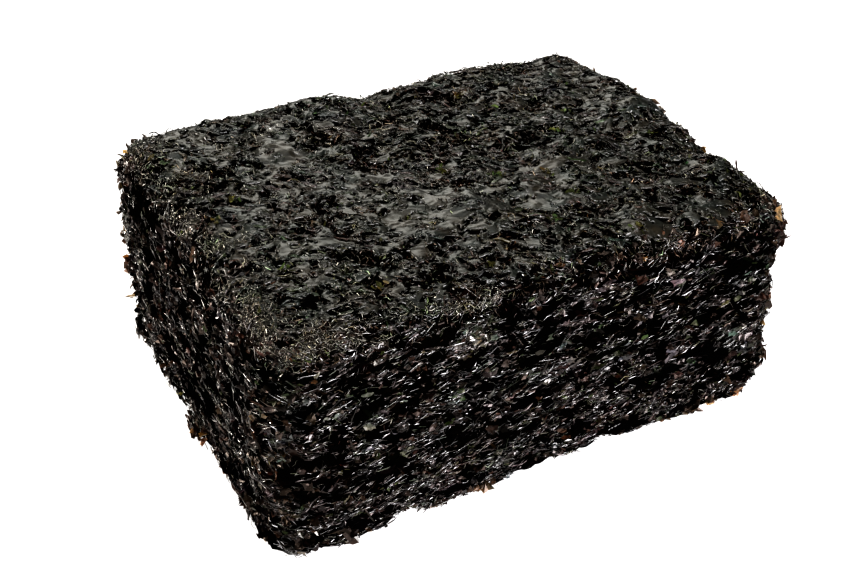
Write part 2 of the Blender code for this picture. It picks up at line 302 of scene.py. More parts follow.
# Finishes: grain scale, bump depth, specular, tint of the gloss, clearness, own colour, roughness
WHITE = (1.0, 1.0, 1.0)
FINISHES = {
    # The pile's near-black is partly the laver's own dark and partly painted shade: darkened for the
    # deep shade in the gaps between the bits, where it shows.
    "pile": (900.0, 0.0004, 0.0, WHITE, 0.0, (1.0, 0.8, 0.7), 0.5),
    "dull": (1400.0, 0.00008, 0.0),
    "glossy": (1400.0, 0.00005, 0.22, (1.0, 0.86, 0.78)),
    "leaf": (1400.0, 0.00005, 0.4, (1.0, 0.91, 0.89)),
    "glint": (1400.0, 0.00004, 0.95),
    "bright": (1400.0, 0.00004, 0.66, (1.0, 0.97, 0.96)),
    "rim": (1400.0, 0.00004, 0.95, (1.0, 0.97, 0.86)),
    "flake": (1400.0, 0.00005, 0.4, (1.0, 0.86, 0.78), 0.92),
    "shred": (1400.0, 0.00005, 0.4, (1.0, 0.84, 0.72)),
    "film": (620.0, 0.00013, 0.5),
    "skin": (620.0, 0.00013, 0.5, WHITE, 0.0, (8.6, 8.6, 6.9), 0.24),
}
DRIFT_SCALE = 75.0
HUE_DRIFTS = ((0.36, (0.85, 1.03, 1.05)), (0.64, (1.18, 0.99, 0.8)))   # cool, warm
GRAIN_STRETCH = (2.6, 1.0, 1.0)
GRAIN_ROUGHNESS = 0.16

# The scattered pieces. The rows start with name, finish, palette, seed and count, and the
# top's strips, which share one seed, with name, finish, palette, where and count.
SIDE_STRIPS = (   # lengths, widths, stations, form, reach, tilts, clumping, shares
    # Near-black shreds, partly painted shade of the gaps between the glossy bits.
    ("black_shreds", "dull", BLACKS_AND_SHADE, 101, 4000, (4, 11), (1, 2.8), 3, TORN, 0.9,
     (0.5, 0.5), (0.5, 0), (1, 1)),
    ("ribbons", "leaf", RIBBONS, 102, 1900, (4, 11), (0.4, 1.2), 6, WAVY, 1.5,
     (0.65, 0.35), (0.46, 0.7), (1, 1)),
    ("long_shreds", "glossy", LONGS, 115, 1100, (5, 12), (1, 2.6), 4, WAVY, 1.8,
     (0.4, 0.6), (0.4, 0.6), (0, 1)),
    ("slivers", "glint", GLINTS, 103, 23600, (1.5, 5), (0.26, 0.66), 1, NEEDLE, 1.7,
     (0.6, 0.42), (0.44, 0.9), (0.94, 0.7)),
    ("threads", "glint", THREADS, 114, 8400, (3, 9), (0.22, 0.46), 2, BENT, 1.9,
     (0.6, 0.42), (0.5, 0.8), (0.9, 1)),
    ("end_threads", "glint", THREADS, 124, 1300, (4.5, 12), (0.28, 0.6), 3, BENT, 1.9,
     (0.6, 0.42), (0.44, 0.8), (0, 1)),
    ("specks", "glossy", SPECKS, 104, 5600, (1.4, 4), (0.5, 1.4), 2, TORN, 1.5,
     (0.5, 0.5), (0.42, 0.35), (1, 1)),
)
SIDE_LEAVES = (   # lengths, widths over them, stand, anchor, reach, clumping, tilts, where
    ("leaf_bits", "leaf", LEAVES, 105, 1500, (2.2, 5.6), (0.3, 0.65), (0, 0.15), 0,
     (0, 1.3), (0.46, 0.6), (0.65, 0.45), "sides"),
    # Bright leaves and scraps: glossy bits whose pale tints are partly painted sheen.
    ("bright_leaves", "bright", SHEENS, 116, 420, (2, 4.4), (0.3, 0.65), (0, 0.12), 0,
     (0.8, 2), (0.1, 0.5), (0.65, 0.45), "sides"),
    ("bright_scraps", "bright", SHEENS, 121, 42, (2, 4.6), (0.35, 0.7), (0, 0.12), 0,
     (1.4, 2.4), (1, 0), (0.62, 0.2), BRIGHT_PLACES),
    # Pale leaves whose mauve-grey is partly painted sheen.
    ("pale_leaves", "leaf", PALE_AND_SHEEN_TINTS, 122, 14, (5, 8.5), (0.28, 0.42), (0, 0.08), 0,
     (1.4, 2.2), (1, 0), (0.35, 0.2), PALE_SHEEN_PLACES),
    ("green_leaves", "leaf", LEAF_GREENS, 123, 20, (2.4, 5), (0.35, 0.6), (0, 0.12), 0,
     (1, 2), (1, 0), (0.3, 0.35), LEAF_GREEN_PLACES),
    ("end_leaves", "glossy", ENDS, 118, 900, (3, 7), (0.28, 0.56), (0.25, 0.3), 0.2,
     (0, 1), (0.5, 0.6), (0.5, 0.9), "ends"),
    ("edge_flakes", "glossy", EDGES, 106, 1200, (2.6, 5.2), (0.45, 0.9), (0.55, 0.3), 0.4,
     (-1.2, 0.2), (0.5, 0.3), (0.4, 1.1), "sides"),
    ("amber_flakes", "flake", AMBERS, 117, 560, (3, 6.2), (0.45, 0.9), (0.75, 0.3), 0.36,
     (-1, 0.2), (0.5, 0), (0.2, 1.2), "rims"),
    ("big_flakes", "flake", AMBERS, 119, 64, (4, 7.5), (0.45, 0.8), (0.6, 0.3), 0.3,
     (-1, 0.2), (1, 0), (0.2, 1.2), FLAKE_PLACES),
)
STRANDS = (   # lengths, widths, form, stations
    ("strands", "rim", STRAND_TINTS, 107, 2000, (2, 6), (0.2, 0.4), CURLED, 3),
    ("wisps", "rim", WISPS, 120, 1600, (3, 8), (0.35, 0.9), CURLED, 4),
)
TOP_FILMS = (   # lengths, widths over them, cells, lift
    ("top_films", "film", FILMS, 108, 440, (4, 9), (0.18, 0.38), (6, 3), (0, 0.4)),
    ("film_scraps", "film", FILMS, 113, 1800, (2.8, 7.2), (0.14, 0.34), (4, 2), (0.1, 0.5)),
)
TOP_SEED = 20
TOP_STRIPS = (   # lengths, widths, stations, lean, depth, form
    ("top_grains", "film", GRAINS, (-0.12, 0.16), 8000, (1.2, 4.2), (0.4, 1.1), 1, 0.16,
     (-0.6, 0.4), TORN),
    ("pit_shreds", "shred", PIT_TINTS, (-0.04, 9), 8500, (1.4, 4.6), (0.26, 0.7), 1, 0.55,
     (-1.8, 0.1), TORN),
    ("pit_glints", "glint", GLINTS, (-0.02, 9), 3600, (0.9, 3), (0.24, 0.6), 1, 0.6,
     (-1.4, 0.2), TORN),
    ("rim_glints", "rim", RIM_GLINTS, "rims", 2700, (1.6, 4.8), (0.2, 0.42), 3, 0.36,
     (-0.2, 0.6), HOOKED),
    ("green_tufts", "dull", GREENS, "tufts", 105, (2.2, 5), (0.8, 1.6), 3, 0.3,
     (0.1, 0.7), TORN),
    ("green_bits", "dull", GREENS, (-0.25, 9), 60, (2.5, 5), (0.8, 1.6), 3, 0.3,
     (0.1, 0.5), TORN),
)

# The stage
CAMERA_PLACE = Vector((-0.2602, -0.4235, 0.3871))
CAMERA_AZIMUTH = math.radians(-30.78)
CAMERA_ELEVATION = math.radians(34.94)
CAMERA_ROLL = math.radians(2.77)
CAMERA_LENS = 52.43
LIGHTS = (   # name, place, size, radiance, colour
    ("sheen_panel", (0.55, 1.37, 1.14), (1.04, 1.04), 3.5, (1.0, 0.98, 0.92)),
    ("overhead_panel", (0.0, 0.0, 2.2), (1.6, 1.6), 1.3, WHITE),
    ("front_glint", (0.2, -1.27, 0.78), (1.4, 0.56), 20.5, (1.0, 0.97, 0.99)),
    ("left_glint", (-1.18, 0.78, 0.72), (0.6, 0.46), 35.0, (1.0, 0.94, 0.87)),
    ("corner_glint", (-1.16, -0.54, 0.74), (0.46, 0.36), 10.0, (1.0, 0.95, 0.9)),
    ("top_glint", (-0.35, -0.3, 1.45), (0.3, 0.3), 32.0, (1.0, 0.98, 0.94)),
)
LAMPS_AIM = Vector((0.0, 0.0, 0.06))
FLOOR_SIZE = 8.0
FLOOR_DROP = 0.0003
FLOOR_GREY = 0.3
FLOOR_GLOW = 0.4
WORLD_LIGHT = 0.1


# ---- form

def lattice_noise(points, size, seed):
    """Smooth noise from -1 to 1 at each point, its bumps as large as size on each axis."""
    scaled = points / np.asarray(size)
    cell = np.floor(scaled).astype(np.int64)
    local = scaled - cell
    local = local * local * (3.0 - 2.0 * local)
    total = np.zeros(len(points))
    for corner in itertools.product((0, 1), repeat=3):
        at = cell + np.array(corner)
        mixed = at[:, 0] * 73856093 ^ at[:, 1] * 19349663 ^ at[:, 2] * 83492791 ^ seed * 40503
        mixed = ((mixed ^ (mixed >> 13)) * 1274126177) & 0x7FFFFFFF
        mixed = ((mixed ^ (mixed >> 15)) * 2246822519) & 0x7FFFFFFF
        share = np.prod(np.where(np.array(corner) == 1, local, 1.0 - local), axis=1)
        total += share * (mixed / 0x3FFFFFFF - 1.0)
    return total


def layered_noise(points, layers, first_seed):
    """The sum of noises of several sizes, from rows of size and weight."""
    return sum(
        weight * lattice_noise(points, size, seed)
        for seed, (size, weight) in enumerate(layers, start=first_seed))


def solid_noise(points, size):
    """The noise that the solid's own relief uses."""
    return np.array([noise.noise(Vector(point)) for point in points / np.asarray(size)])


def bumps(points, rows):
    """The sum of soft round bumps: rows of a middle and a radius in millimetres, and a height."""
    total = np.zeros(len(points))
    for *middle, radius, height in rows:
        away = np.linalg.norm(points - MM * np.array(middle), axis=1) / (MM * radius)
        total += height * np.exp(-away * away)
    return total


def unit(vectors):
    return vectors / np.maximum(np.linalg.norm(vectors, axis=-1, keepdims=True), 1e-12)


def round_over(points):
    """Carry points of the plain box to the rounded pile; give places and outward normals."""
    heart = np.column_stack((
        np.clip(points[:, :2], CORNER_RADIUS - HALF, HALF - CORNER_RADIUS),
        np.minimum(points[:, 2], PILE_HEIGHT - CORNER_RADIUS)))
    normals = unit(points - heart)
    return heart + normals * CORNER_RADIUS, normals


def broad_relief(places, upward):
    """The swells, layers, clumps and rumples that the solid has too."""
    layers = solid_noise(places, (LAYER_LENGTH, LAYER_LENGTH, LAYER_PITCH))
    clumps = solid_noise(places, CLUMP_SIZE)
    rumples = solid_noise(places * (1.0, 1.0, 0.0), RUMPLE_SIZE)
    sides = (1.0 - upward) * (LAYER_DEPTH * layers + CLUMP_DEPTH * clumps)
    return MM * bumps(places, SWELLS + EDGE_SWELLS) + sides + upward * RUMPLE_HEIGHT * rumples


def skin_axes(points):
    """Turn and squeeze points so that a round noise comes out long the way that the films lie."""
    cosine, sine = math.cos(SKIN_HEADING), math.sin(SKIN_HEADING)
    turned = np.column_stack((
        (points[:, 0] * cosine + points[:, 1] * sine) / SKIN_STRETCH,
        points[:, 1] * cosine - points[:, 0] * sine,
        points[:, 2]))
    warp = np.column_stack([lattice_noise(turned, WARP_SIZE, seed) for seed in (31, 32, 33)])
    return turned + SKIN_WARP * warp


def cleft(places):
    """Depth of the narrow cleft in the front left of the top."""
    (start_x, start_y), (end_x, end_y), radius, depth = CLEFT
    run = np.array((end_x - start_x, end_y - start_y))
    from_start = places[:, :2] - (start_x, start_y)
    along = np.clip(from_start @ run / (run @ run), 0.0, 1.0)
    away = np.linalg.norm(from_start - along[:, None] * run, axis=1) / radius
    return depth * np.exp(-away * away)


def openness(points):
    """Over 0 where the top's skin has a hole, from points of the folded box."""
    total = layered_noise(skin_axes(points), HOLES, 41)
    total += CLEFT_OPENS * cleft(points) - bumps(points[:, :2], SMOOTH_PATCHES)
    from_rim = np.maximum((HALF - np.abs(points[:, :2])).min(1), 0.0)
    total += RIM_ROUGH * np.exp(-from_rim / RIM_WIDTH)
    total += FRONT_ROUGH * np.exp(-np.maximum(points[:, 1] + HALF[1], 0.0) / FRONT_WIDTH)
    return total + FOLD_ROUGH * np.clip((PILE_HEIGHT - points[:, 2]) / SKIN_FOLD, 0.0, 1.0)


def fine_relief(places, upward):
    """The ragged ledges of the sides, and the hollows under the top's skin."""
    mean_depth, varying_depth = PIT_DEPTHS
    hollow = mean_depth + varying_depth * lattice_noise(places, PIT_SIZE, 5) + cleft(places)
    ledges = LEDGE_DEPTH * layered_noise(places, LEDGES, 3) - FRINGE
    return (1.0 - upward) * ledges - upward * hollow


def pile_surface(points, fine=False):
    """Places of points of the plain box on the pile, and the outward normals there."""
    places, normals = round_over(points)
    upward = np.maximum(normals[:, 2], 0.0)
    out = broad_relief(places, upward)
    if fine:
        out = out + fine_relief(places, upward)
    foot = np.maximum(0.0, 1.0 - points[:, 2] / FOOT_HEIGHT)
    moved = places + normals * out[:, None]
    moved -= normals * (1.0, 1.0, 0.0) * (FOOT_INSET * foot * foot)[:, None]
    return moved, normals


def fold_over(points):
    """Fold points past the box's top edges down onto its walls."""
    over = np.maximum(np.abs(points[:, :2]) - HALF, 0.0)
    return np.column_stack((np.clip(points[:, :2], -HALF, HALF), points[:, 2] - over.sum(1)))


def on_ends(points):
    """Which points of the box are on its short ends."""
    return np.abs(points[:, 0]) > HALF[0] - CORNER_RADIUS / 2


def on_rims(points):
    """Which points of the box are at its corners, its foot or its far top edges."""
    at_corner = (np.abs(points[:, :2]) > HALF - CORNER_RADIUS).all(1)
    high = points[:, 2] > PILE_HEIGHT - CORNER_RADIUS / 2
    behind = (points[:, 0] > 0.0) | (points[:, 1] > HALF[1] - CORNER_RADIUS)
    return at_corner | high & behind | (points[:, 2] < FOOT_HEIGHT)


# ---- finishes

def new_material(name):
    material = bpy.data.materials.new(name)
    material.use_nodes = True
    return material, material.node_tree, material.node_tree.nodes["Principled BSDF"]


def set_inputs(node, **values):
    """Set constants on a node's inputs, with _ for the blanks in their names."""
    for name, value in values.items():
        node.inputs[name.replace("_", " ")].default_value = value


def add_node(tree, kind, **values):
    node = tree.nodes.new("ShaderNode" + kind)
    set_inputs(node, **values)
    return node


def link(tree, *rows):
    """Join sockets, from rows of a node, its output, the next node and its input."""
    for start, output, end, entry in rows:
        tree.links.new(start.outputs[output], end.inputs[entry])


def thousandths(colour):
    return tuple(part / 1000 for part in colour)


def grain_group():
    """Cellular grain of dried laver: mottles the colour and the gloss and puts out its height."""
    group = bpy.data.node_groups.new("laver_grain", "ShaderNodeTree")
    for way, last in (("INPUT", "Scale"), ("OUTPUT", "Height")):
        for name, kind in (("Colour", "Color"), ("Roughness", "Float"), (last, "Float")):
            group.interface.new_socket(name, in_out=way, socket_type="NodeSocket" + kind)
    given = group.nodes.new("NodeGroupInput")
    made = group.nodes.new("NodeGroupOutput")
    place = add_node(group, "TexCoord")
    stretch = add_node(group, "Mapping", Rotation=(0.0, 0.0, SKIN_HEADING), Scale=GRAIN_STRETCH)
    stretch.vector_type = "TEXTURE"
    grain = add_node(group, "TexNoise", Detail=4.0, Roughness=0.66)
    shade = add_node(group, "MapRange", From_Min=0.3, From_Max=0.7, To_Min=0.45, To_Max=1.65)
    drift = add_node(group, "TexNoise", Scale=DRIFT_SCALE, Detail=2.0)
    hue = add_node(group, "ValToRGB")
    for element, (position, colour) in zip(hue.color_ramp.elements, HUE_DRIFTS):
        element.position = position
        element.color = (*colour, 1.0)
    drifted = add_node(group, "VectorMath")
    drifted.operation = "MULTIPLY"
    tone = add_node(group, "VectorMath")
    tone.operation = "SCALE"
    gloss = add_node(group, "Math")
    gloss.operation = "MULTIPLY_ADD"
    gloss.inputs[1].default_value = GRAIN_ROUGHNESS
    link(
        group,
        (place, "Object", stretch, "Vector"), (stretch, "Vector", grain, "Vector"),
        (given, "Scale", grain, "Scale"), (grain, "Fac", shade, "Value"),
        (place, "Object", drift, "Vector"), (drift, "Fac", hue, "Fac"),
        (given, "Colour", drifted, 0), (hue, "Color", drifted, 1),
        (drifted, "Vector", tone, 0), (shade, "Result", tone, "Scale"),
        (tone, "Vector", made, "Colour"),
        (grain, "Fac", gloss, 0), (given, "Roughness", gloss, 2),
        (gloss, "Value", made, "Roughness"), (grain, "Fac", made, "Height"))
    return group


def laver_finish(name, grain, scale, bump_depth, specular, gloss_tint=WHITE, clear=0.0,
                 colour=None, roughness=None):
    """A laver material; without a colour it takes each bit's own tint, and its gloss from the alpha."""
    material, tree, shader = new_material(name)
    set_inputs(
        shader, Specular_IOR_Level=specular, Specular_Tint=(*gloss_tint, 1.0),
        Transmission_Weight=clear)
    look = add_node(tree, "Group")
    look.node_tree = grain
    set_inputs(look, Scale=scale)
    if colour is None:
        tint = add_node(tree, "Attribute")
        tint.attribute_name = "tint"
        link(tree, (tint, "Color", look, "Colour"), (tint, "Alpha", look, "Roughness"))
    else:
        set_inputs(look, Colour=(*thousandths(colour), 1.0), Roughness=roughness)
    bump = add_node(tree, "Bump", Strength=1.0, Distance=bump_depth)
    link(
        tree,
        (look, "Colour", shader, "Base Color"), (look, "Roughness", shader, "Roughness"),
        (look, "Height", bump, "Height"), (bump, "Normal", shader, "Normal"))
    return material


# ---- pieces

def finish_piece(obj, material):
    obj.data.materials.append(material)
    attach(obj, "root")


def add_object(name, data):
    obj = bpy.data.objects.new(name, data)
    bpy.context.scene.collection.objects.link(obj)
    return obj


def joined_piece(look, draw, vertices, faces, seats, smooth=False):
    """One piece from many bits: vertices (bits, each, 3), the faces of one bit, one seat a bit.

    look is the piece's name, its material and the palette of its tints.
    """
    name, material, palette = look
    tints = pick_tints(draw, palette, seats)
    count, each = vertices.shape[:2]
    corners = faces + (np.arange(count) * each)[:, None, None]
    mesh = bpy.data.meshes.new(name)
    mesh.from_pydata(vertices.reshape(-1, 3), [], corners.reshape(-1, 3), shade_flat=not smooth)
    tint = mesh.color_attributes.new("tint", "FLOAT_COLOR", "POINT")
    tint.data.foreach_set("color", np.repeat(tints, each, axis=0).reshape(-1).astype(np.float32))
    mesh.validate()
    finish_piece(add_object(name, mesh), material)


def deselect_all():
    for obj in bpy.context.selected_objects:
        obj.select_set(False)


def add_grid(name, cells, size, place):
    """A flat grid at its size and place."""
    deselect_all()
    bpy.ops.mesh.primitive_grid_add(
        x_subdivisions=cells[0], y_subdivisions=cells[1], size=1.0, location=place)
    grid = bpy.context.object
    grid.name = name
    grid.scale = (*size, 1.0)
    bpy.ops.object.transform_apply()
    return grid


def vertex_points(mesh):
    points = np.empty(len(mesh.vertices) * 3)
    mesh.vertices.foreach_get("co", points)
    return points.reshape(-1, 3)


def move_vertices(mesh, points):
    mesh.vertices.foreach_set("co", points.reshape(-1))
    mesh.update()


def build_pile(material):
    """The pile itself: a grid for the top, its rim pulled down for the walls, then its relief."""
    pile = add_grid(
        "laver_pile", (round(SHEET_LENGTH / CELL), round(SHEET_WIDTH / CELL)),
        (SHEET_LENGTH, SHEET_WIDTH), (0.0, 0.0, PILE_HEIGHT))
    layers = round(PILE_HEIGHT / (WALL_STRETCH * CELL))
    bpy.ops.object.mode_set(mode="EDIT")
    bpy.ops.mesh.select_mode(type="EDGE")
    bpy.ops.mesh.select_all(action="DESELECT")
    bpy.ops.mesh.select_non_manifold()
    for _ in range(layers):
        bpy.ops.mesh.extrude_region_move(
            TRANSFORM_OT_translate={"value": (0.0, 0.0, -PILE_HEIGHT / layers)})
    bpy.ops.mesh.edge_face_add()
    bpy.ops.mesh.select_all(action="SELECT")
    bpy.ops.mesh.normals_make_consistent()
    bpy.ops.object.mode_set(mode="OBJECT")
    points = vertex_points(pile.data)
    moved = pile_surface(points, fine=True)[0]
    moved[points[:, 2] < CELL / 4, 2] = 0.0
    move_vertices(pile.data, moved)
    pile.data.shade_smooth()
    finish_piece(pile, material)
    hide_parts("nori_stack")


def grow_or_shrink(points, value):
    """Move flat points along the slope of the openness onto its zero line."""
    step = 0.0002
    slope = np.column_stack([
        (openness(fold_over(points + shift)) - value) / step
        for shift in ((step, 0.0, 0.0), (0.0, step, 0.0))])
    steep = np.maximum((slope * slope).sum(1), 1.0)
    move = -slope * (value / steep)[:, None]
    far = np.linalg.norm(move, axis=1)
    move *= (np.minimum(far, RIM_SHIFT) / np.maximum(far, 1e-9))[:, None]
    moved = points.copy()
    moved[:, :2] += move
    return moved


def skin_height(folded, value):
    """Wrinkles of the skin over the pile's form, and its curled rims at the holes."""
    turned = skin_axes(folded)
    rim = np.clip(1.0 + value / CURL_FROM, 0.0, 1.0)
    curl = CURL_HEIGHT * rim * rim * (lattice_noise(turned, CURL_SIZE, 71) - CURL_SINKS)
    return layered_noise(turned, WRINKLES, 61) + curl - CLEFT_SAG * cleft(folded)


def beyond_sheet(at, sides):
    """Which points lie past the top's corners or the wavy seams between the skin's four sheets."""
    wave = SEAM_WAVE * lattice_noise(at, SEAM_WAVE, 81)
    past_seams = (sides * (at[:, :2] + wave[:, None]) < 0.0).any(1)
    return past_seams | (np.abs(at[:, :2]) > HALF).all(1)


def neighbours(kept, columns, rows):
    """How many of the 25 cells in the square round each cell are kept."""
    padded = np.pad(kept.reshape(rows, columns).astype(int), 2)
    return np.lib.stride_tricks.sliding_window_view(padded, (5, 5)).sum((2, 3)).reshape(-1)


def build_skin(name, sides, material):
    """One sheet of the top's skin: a grid with its holes taken out, laid over and folded down."""
    cells = [round(reach / SKIN_CELL) for reach in HALF + SKIN_FOLD + SEAM_WAVE]
    size = np.array(cells) * SKIN_CELL
    middle = np.array(sides) * (size / 2 - SEAM_WAVE)
    skin = add_grid(name, cells, size, (*middle, PILE_HEIGHT))
    mesh = skin.data
    points = vertex_points(mesh)
    corners = np.empty(len(mesh.polygons) * 4, dtype=np.int32)
    mesh.loops.foreach_get("vertex_index", corners)
    corners = corners.reshape(-1, 4)
    value = openness(fold_over(points))
    beyond = beyond_sheet(points[corners].mean(1), sides)
    kept = (value[corners].mean(1) < 0.0) & ~beyond
    kept &= neighbours(kept, *cells) >= FEWEST_NEAR
    in_kept, in_gone = np.zeros((2, len(points)), bool)
    in_kept[corners[kept]] = True
    in_gone[corners[~kept & ~beyond]] = True
    rim = in_kept & in_gone
    points[rim] = grow_or_shrink(points[rim], value[rim])
    folded = fold_over(points)
    ground, normals = pile_surface(folded)
    height = skin_height(folded, openness(folded))
    move_vertices(mesh, ground + normals * height[:, None])
    bpy.ops.object.mode_set(mode="EDIT")
    bpy.ops.mesh.select_mode(type="FACE")
    bpy.ops.object.mode_set(mode="OBJECT")
    mesh.polygons.foreach_set("select", ~kept)
    bpy.ops.object.mode_set(mode="EDIT")
    bpy.ops.mesh.delete(type="FACE")
    bpy.ops.object.mode_set(mode="OBJECT")
    solid = skin.modifiers.new("thickness", "SOLIDIFY")
    solid.thickness = SKIN_THICKNESS
    solid.offset = -1.0
    bpy.ops.object.modifier_apply(modifier=solid.name)
    skin.data.shade_smooth()
    finish_piece(skin, material)


# ---- shapes of thin bits

def strip_faces(stations):
    """Triangles of a thin strip: a tip, stations of (left, right, ridge), and a tip."""
    sides = ((0, 2), (2, 1), (1, 0))
    faces = [(0, 1 + a, 1 + b) for a, b in sides]
    last = 3 * stations - 2
    for at, (a, b) in itertools.product(range(1, last, 3), sides):
        faces += [(at + a, at + a + 3, at + b + 3), (at + a, at + b + 3, at + b)]
    return np.array(faces + [(last + a, last + 3, last + b) for a, b in sides])


def log_range(draw, bounds, count):
    """Random lengths between two bounds in millimetres, the short ones more common."""
    return MM * np.exp(draw.uniform(math.log(bounds[0]), math.log(bounds[1]), count))


def strip_shapes(draw, count, lengths, widths, stations, crumple, wave, bow):
    """Each strip's vertices along, across and up.

    crumple turns it about its length from station to station, wave is its snaking
    in widths, and bow its bend in lengths.
    """
    length = log_range(draw, lengths, count)
    width = MM * draw.uniform(*widths, count)
    thickness = STRIP_THICKNESS + STRIP_RIDGE * width
    bend = draw.normal(0.0, bow, count) * length
    swerve = draw.normal(0.0, bow, count) * length
    waves = wave * draw.uniform(0.6, 2.0, (count, 2)) * width[:, None]
    pace = draw.uniform(4.0, 9.0, (count, 2))
    start = draw.uniform(0.0, 2 * math.pi, (count, 2))
    turn = draw.normal(0.0, 0.3 * crumple, count)
    rows = []
    inner = np.linspace(BLUNTNESS, 1.0 - BLUNTNESS, stations) if stations > 1 else (0.5,)
    for number, share in enumerate((0.0, *inner, 1.0)):
        arch = 4.0 * share * (1.0 - share)
        ripple = waves * np.sin(pace * share + start)
        middle = np.column_stack((
            (share - 0.5) * length,
            swerve * arch + ripple[:, 0],
            bend * arch + ripple[:, 1] + draw.normal(0.0, 0.08 * crumple, count) * width,
        ))
        if number in (0, stations + 1):
            rows.append(middle)
            continue
        half = 0.5 * width * (0.6 + 0.4 * arch) * draw.uniform(0.65, 1.25, count)
        turn = turn + draw.normal(0.0, 0.35 * crumple, count)
        across = np.column_stack((np.zeros(count), np.cos(turn), np.sin(turn)))
        up = np.column_stack((np.zeros(count), -np.sin(turn), np.cos(turn)))
        side = across * half[:, None]
        rows += [middle - side, middle + side, middle + up * thickness[:, None]]
    return np.stack(rows, axis=1)


def film_faces(long, wide):
    """Triangles of a thin film: a grid above and one below that share their rim."""
    upper = np.arange((long + 1) * (wide + 1)).reshape(long + 1, -1)
    lower = upper.copy()
    inner = lower[1:-1, 1:-1]
    inner[:] = upper.size + np.arange(inner.size).reshape(inner.shape)
    faces = []
    for i, j in itertools.product(range(long), range(wide)):
        for grid, turn in ((upper, 1), (lower, -1)):
            a, b, c, d = grid[i, j], grid[i + 1, j], grid[i + 1, j + 1], grid[i, j + 1]
            faces += [(a, b, c)[::turn], (a, c, d)[::turn]]
    return np.array(faces)


def closed_film(upper, down):
    """Vertices of films: their upper grids, and the inner part again under them."""
    lower = upper[:, 1:-1, 1:-1] + LEAF_THICKNESS * down
    return np.concatenate([grid.reshape(len(upper), -1, 3) for grid in (upper, lower)], axis=1)


def film_outlines(draw, length, width, long, wide, torn):
    """Flat places, along and across, of each film's upper grid, with a torn rim."""
    count = len(length)
    along = np.linspace(-0.5, 0.5, long + 1)
    across = np.linspace(-0.5, 0.5, wide + 1)
    grid = np.empty((count, long + 1, wide + 1, 2))
    swerve = draw.normal(0.0, 0.12, count) * length
    lean = draw.normal(0.0, 0.3, count)
    for i, j in itertools.product(range(long + 1), range(wide + 1)):
        taper = 0.5 + 0.5 * math.cos(math.pi * along[i] * 0.93)
        rim = i in (0, long) or j in (0, wide)
        off = draw.normal(0.0, torn if rim else 0.3 * torn, (count, 2))
        x = along[i] + off[:, 0] / long * 2
        y = across[j] * taper + off[:, 1] * 0.6
        grid[:, i, j, 0] = x * length + lean * y * width
        grid[:, i, j, 1] = y * width + swerve * (1.0 - 4.0 * along[i] ** 2)
    return grid


def leaf_shapes(draw, length, width, long, wide, anchor):
    """Crumpled torn leaf bits, each a closed thin film: vertices along, across and up."""
    count = len(length)
    flat = film_outlines(draw, length, width, long, wide, LEAF_TORN)
    curl = draw.normal(0.0, 0.3, count)[:, None, None]
    roll = draw.normal(0.0, 0.45, count)[:, None, None]
    share_long = flat[..., 0] / length[:, None, None]
    share_wide = flat[..., 1] / width[:, None, None]
    crease = draw.normal(0.0, 0.1, flat.shape[:3])
    up = (curl * share_long ** 2 + roll * share_wide ** 2 + crease) * width[:, None, None]
    upper = np.concatenate((flat, up[..., None]), axis=-1)
    upper[..., 0] += anchor * length[:, None, None]
    return closed_film(upper, np.array((0.0, 0.0, -1.0)))


def pick_tints(draw, palette, seats):
    """A tint for each bit, from rows of a palette; the alpha is its roughness."""
    count = len(seats)
    shares = np.array([row[0] for row in palette], float)
    rows = np.array([(*thousandths(colour), roughness) for _, *colour, roughness in palette])
    tints = rows[draw.choice(len(rows), size=count, p=shares / shares.sum())]
    tints[:, :3] *= np.exp(draw.normal(0.0, LIGHTNESS_SPREAD, (count, 1)))
    tints[:, :3] *= np.exp(draw.normal(0.0, HUE_SPREAD, (count, 3)))
    for channel, strength, seed in TINT_DRIFTS:
        tints[:, channel] *= np.exp(strength * lattice_noise(seats, TINT_DRIFT_SIZE, seed))
    tints[:, 3] = np.clip(tints[:, 3] + draw.normal(0.0, ROUGHNESS_SPREAD, count), 0.08, 0.9)
    return tints


# ---- places of thin bits

def wall_seats(draw, count, low, high):
    """Points of the plain box's walls, evenly random.

    Those above the top edges turn in over the front and the right one, and keep out
    from the back and the left one.
    """
    reach = draw.uniform(0.0, 4 * HALF.sum(), count)
    height = draw.uniform(low, high, count)
    corners = HALF * ((-1, -1), (1, -1), (1, 1), (-1, 1))
    runs = np.array(((1, 0), (0, 1), (-1, 0), (0, -1)))
    turns = np.array(((0, 1), (-1, 0), (0, 1), (-1, 0)))
    starts = 2 * np.cumsum((0.0, HALF[0], HALF[1], HALF[0]))
    wall = np.searchsorted(starts, reach, side="right") - 1
    along, over = reach - starts[wall], np.maximum(height - PILE_HEIGHT, 0.0)
    flat = corners[wall] + runs[wall] * along[:, None] + turns[wall] * over[:, None]
    return np.column_stack((flat, np.minimum(height, PILE_HEIGHT)))


def on_top(flat):
    return np.column_stack((flat, np.full(len(flat), PILE_HEIGHT)))


def top_seats(draw, count, margin):
    """Points of the plain box's top, evenly random, some of them folded over its edges."""
    half = HALF + margin
    return fold_over(on_top(draw.uniform(-half, half, (count, 2))))


def round_places(draw, places, count, spread):
    """An equal share of points round each of the named places."""
    points = MM * np.repeat(np.array(places, float), count // len(places), axis=0)
    return points + draw.normal(0.0, spread, points.shape)


def clustered(draw, points, count, clumping):
    """The first count of the points, thinned out by a level and by clusters that all kinds share."""
    level, strength = clumping
    at_end = on_ends(points)
    strength = strength * np.where(at_end, END_CLUMPING, 1.0)
    fuller = lattice_noise(points, CLUSTER_SIZE, CLUSTER_SEED) + bumps(points, SIDE_PATCHES)
    shoulder = np.clip((points[:, 2] - PILE_HEIGHT) / CORNER_RADIUS + 1.0, 0.0, 1.0)
    chance = level + strength * fuller - END_GAPS * at_end - SHOULDER_GAPS * shoulder
    return points[draw.uniform(0.0, 1.0, len(points)) < chance][:count]


